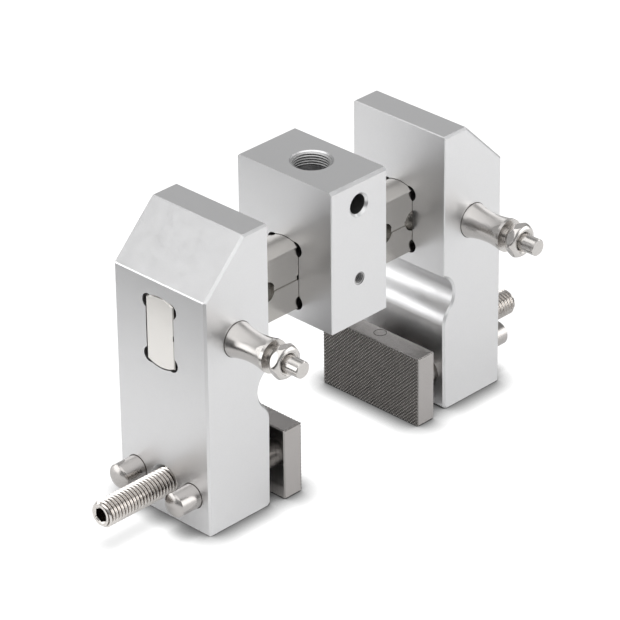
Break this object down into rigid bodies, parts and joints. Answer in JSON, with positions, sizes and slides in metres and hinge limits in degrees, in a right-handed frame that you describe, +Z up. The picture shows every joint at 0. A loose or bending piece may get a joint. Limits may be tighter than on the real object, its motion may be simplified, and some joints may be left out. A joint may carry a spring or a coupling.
{
  "type": "tensile test grip",
  "caption": "Screw action tensile test grip: two arms on an indexed cross rail with pull plungers, a threaded mounting block, and serrated jaws on guide pins driven by clamp screws.",
  "frame": {"origin": "mouth of the mounting thread, in the mounting block's top face", "axes": "+Z up, out of the mounting thread; +X along the cross rail towards the right arm; the index plungers point along -Y"},
  "size_m": [0.211, 0.0779, 0.112],
  "materials": {
    "anodised_aluminium": "fine bead blasted, clear anodised",
    "ground_steel": "ground stainless steel",
    "jaw_steel": "ground stainless steel, serrated front",
    "bright_steel": "polished stainless steel",
    "screw_steel": "rolled stainless steel thread",
    "spring_steel": "drawn stainless spring wire"
  },
  "bodies": {
    "bridge": {"mounting_block": "anodised_aluminium", "cross_rail": "ground_steel", "rail_set_screw": "screw_steel"},
    "left_side": {"left_arm": "anodised_aluminium", "left_index_sleeve": "bright_steel", "left_index_spring": "spring_steel"},
    "left_plunger": {"left_index_pin": "bright_steel", "left_pull_nut": "bright_steel"},
    "left_jaw": {"left_jaw_plate": "jaw_steel", "left_guide_pin_front": "bright_steel", "left_guide_pin_rear": "bright_steel", "left_retaining_pin": "jaw_steel"},
    "left_screw": {"left_clamp_screw": "screw_steel"},
    "right_side": {"right_arm": "anodised_aluminium", "right_index_sleeve": "bright_steel", "right_index_spring": "spring_steel"},
    "right_plunger": {"right_index_pin": "bright_steel", "right_pull_nut": "bright_steel"},
    "right_jaw": {"right_jaw_plate": "jaw_steel", "right_guide_pin_front": "bright_steel", "right_guide_pin_rear": "bright_steel", "right_retaining_pin": "jaw_steel"},
    "right_screw": {"right_clamp_screw": "screw_steel"}
  },
  "joints": [
    {"name": "left_arm_slide", "type": "slide", "parent": "bridge", "child": "left_side", "axis": [1, 0, 0], "range_m": [0, 0.03]},
    {"name": "left_index_pull", "type": "slide", "parent": "left_side", "child": "left_plunger", "axis": [0, 1, 0], "range_m": [-0.0025, 0.002], "deforming": ["left_index_spring"]},
    {"name": "left_jaw_slide", "type": "slide", "parent": "left_side", "child": "left_jaw", "axis": [-1, 0, 0], "range_m": [-0.027, 0.0044]},
    {"name": "left_clamp_turn", "type": "hinge", "parent": "left_jaw", "child": "left_screw", "pos_m": [-0.03975, 0, -0.0985], "axis": [-1, 0, 0], "range_deg": [-6481, 1057]},
    {"name": "right_arm_slide", "type": "slide", "parent": "bridge", "child": "right_side", "axis": [-1, 0, 0], "range_m": [0, 0.03]},
    {"name": "right_index_pull", "type": "slide", "parent": "right_side", "child": "right_plunger", "axis": [0, 1, 0], "range_m": [-0.0025, 0.002], "deforming": ["right_index_spring"]},
    {"name": "right_jaw_slide", "type": "slide", "parent": "right_side", "child": "right_jaw", "axis": [1, 0, 0], "range_m": [-0.027, 0.006]},
    {"name": "right_clamp_turn", "type": "hinge", "parent": "right_jaw", "child": "right_screw", "pos_m": [0.0381, 0, -0.0985], "axis": [1, 0, 0], "range_deg": [-6481, 1441]}
  ],
  "couplings": [
    {"joint": "left_clamp_turn", "follows": "left_jaw_slide", "rad_per_m": 4188.8},
    {"joint": "right_clamp_turn", "follows": "right_jaw_slide", "rad_per_m": 4188.8}
  ]
}
